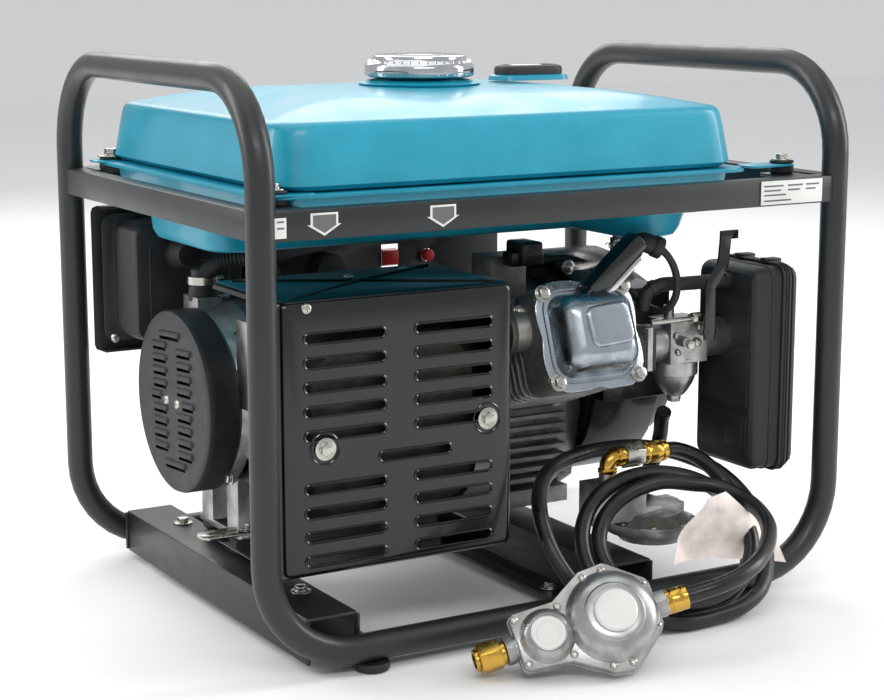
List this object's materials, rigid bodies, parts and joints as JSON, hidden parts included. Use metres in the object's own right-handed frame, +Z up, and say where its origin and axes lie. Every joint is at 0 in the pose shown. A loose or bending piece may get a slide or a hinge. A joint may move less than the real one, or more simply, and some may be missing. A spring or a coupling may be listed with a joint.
{
  "type": "portable generator",
  "caption": "Open-frame portable petrol and gas generator with a steel tank on top, a single-cylinder engine, an alternator, a control panel and a coiled gas hose with its regulator.",
  "frame": {"origin": "the middle of the generator's footprint on the ground, without the loose hose kit", "axes": "+X along the crankshaft towards the recoil starter, -Y the exhaust side, +Y the control panel side, +Z up"},
  "size_m": [0.6, 0.5665, 0.496],
  "materials": {
    "frame_paint": "satin",
    "tank_paint": "gloss",
    "black_enamel": "gloss",
    "black_plastic": "satin",
    "cast_alloy": "cast",
    "zinc": "pressed and polished",
    "cap_chrome": "polished",
    "iron": "rough",
    "brass": "satin",
    "rubber": "matt",
    "red_plastic": "gloss",
    "foam": "open-cell foam"
  },
  "bodies": {
    "frame": {"left_hoop": "frame_paint", "right_hoop": "frame_paint", "front_rail": "frame_paint", "rear_rail": "frame_paint", "belt_front": "frame_paint", "belt_rear": "frame_paint", "belt_left": "frame_paint", "belt_right": "frame_paint", "alternator_pan": "frame_paint", "engine_pan": "frame_paint", "rubber_foot_1": "rubber", "rubber_foot_2": "rubber", "rubber_foot_3": "rubber", "rubber_foot_4": "rubber", "tank_upper": "tank_paint", "tank_lower": "tank_paint", "fuel_tap": "cast_alloy", "fuel_gauge": "black_plastic", "crankcase": "cast_alloy", "fan_housing": "black_enamel", "recoil_cover": "black_enamel", "cylinder_head": "cast_alloy", "valve_cover": "zinc", "stator": "iron", "end_bracket": "cast_alloy", "end_cover": "black_plastic", "alternator_mount_1": "rubber", "alternator_mount_2": "rubber", "muffler_cover": "black_enamel", "muffler_body": "iron", "carburettor": "cast_alloy", "air_box_base": "black_plastic", "air_filter": "foam", "breather_hose": "rubber", "plug_lead": "rubber", "control_panel": "black_plastic", "control_box": "black_plastic", "wiring_conduit": "rubber", "demand_regulator": "cast_alloy", "gas_feed_hose": "rubber", "hose_coupling": "brass", "hose_coil": "rubber", "hose_lead": "rubber", "hose_tail": "rubber", "gas_regulator": "cast_alloy"},
    "crank": {"flywheel": "iron", "rotor_shaft": "iron"},
    "starter_pulley": {"recoil_pulley": "black_plastic"},
    "starter_grip": {"recoil_handle": "rubber"},
    "cap_seal": {"cap_gasket": "rubber"},
    "cap": {"fuel_cap": "cap_chrome"},
    "tap_lever": {"fuel_valve_lever": "black_enamel"},
    "choke": {"choke_lever": "black_enamel"},
    "filter_lid": {"air_box_lid": "black_plastic"},
    "dipstick": {"oil_dipstick": "black_plastic"},
    "flap_1": {"socket_flap_1": "black_plastic"},
    "flap_2": {"socket_flap_2": "black_plastic"},
    "rocker": {"engine_switch": "red_plastic"},
    "breaker": {"breaker_button": "red_plastic"},
    "cylinder_nut": {"inlet_nut": "brass"}
  },
  "joints": [
    {"name": "crank_spin", "type": "hinge", "parent": "frame", "child": "crank", "pos_m": [0, 0.04, 0.187], "axis": [1, 0, 0], "continuous": true},
    {"name": "starter_pull", "type": "slide", "parent": "frame", "child": "starter_grip", "axis": [0, 0.9659, 0.2588], "range_m": [0, 0.5], "stiffness_N_per_m": 20, "springref_m": -0.5},
    {"name": "starter_pulley_spin", "type": "hinge", "parent": "frame", "child": "starter_pulley", "pos_m": [0.217, 0.04, 0.187], "axis": [1, 0, 0], "range_deg": [-600, 0]},
    {"name": "cap_lift", "type": "slide", "parent": "frame", "child": "cap_seal", "axis": [0, 0, 1], "range_m": [0, 0.12]},
    {"name": "cap_twist", "type": "hinge", "parent": "cap_seal", "child": "cap", "pos_m": [-0.028, 0, 0.48], "axis": [0, 0, 1], "range_deg": [0, 95]},
    {"name": "fuel_tap_turn", "type": "hinge", "parent": "frame", "child": "tap_lever", "pos_m": [0.168, -0.06, 0.31], "axis": [1, 0, 0], "range_deg": [0, 90]},
    {"name": "choke_swing", "type": "hinge", "parent": "frame", "child": "choke", "pos_m": [0.188, -0.158, 0.2415], "axis": [0, 1, 0], "range_deg": [-30, 6]},
    {"name": "filter_lid_pull", "type": "slide", "parent": "frame", "child": "filter_lid", "axis": [1, 0, 0], "range_m": [0, 0.12]},
    {"name": "dipstick_draw", "type": "slide", "parent": "frame", "child": "dipstick", "axis": [0, -1, 0], "range_m": [0, 0.05]},
    {"name": "flap_1_lift", "type": "hinge", "parent": "frame", "child": "flap_1", "pos_m": [-0.105, 0.219, 0.3025], "axis": [1, 0, 0], "range_deg": [0, 100], "stiffness_Nm_per_rad": 0.01, "springref_deg": -17.19},
    {"name": "flap_2_lift", "type": "hinge", "parent": "frame", "child": "flap_2", "pos_m": [-0.029, 0.219, 0.3025], "axis": [1, 0, 0], "range_deg": [0, 100], "stiffness_Nm_per_rad": 0.01, "springref_deg": -17.19},
    {"name": "switch_rock", "type": "hinge", "parent": "frame", "child": "rocker", "pos_m": [0.051, 0.201, 0.276], "axis": [1, 0, 0], "range_deg": [-16, 0]},
    {"name": "breaker_press", "type": "slide", "parent": "frame", "child": "breaker", "axis": [0, -1, 0], "range_m": [0, 0.004], "stiffness_N_per_m": 300, "springref_m": -0.002},
    {"name": "cylinder_nut_spin", "type": "hinge", "parent": "frame", "child": "cylinder_nut", "pos_m": [-0.0228, -0.3054, 0.0411], "axis": [0.9382, -0.2737, 0.212], "continuous": true}
  ],
  "couplings": [
    {"joint": "starter_pulley_spin", "follows": "starter_pull", "rad_per_m": -20}
  ]
}
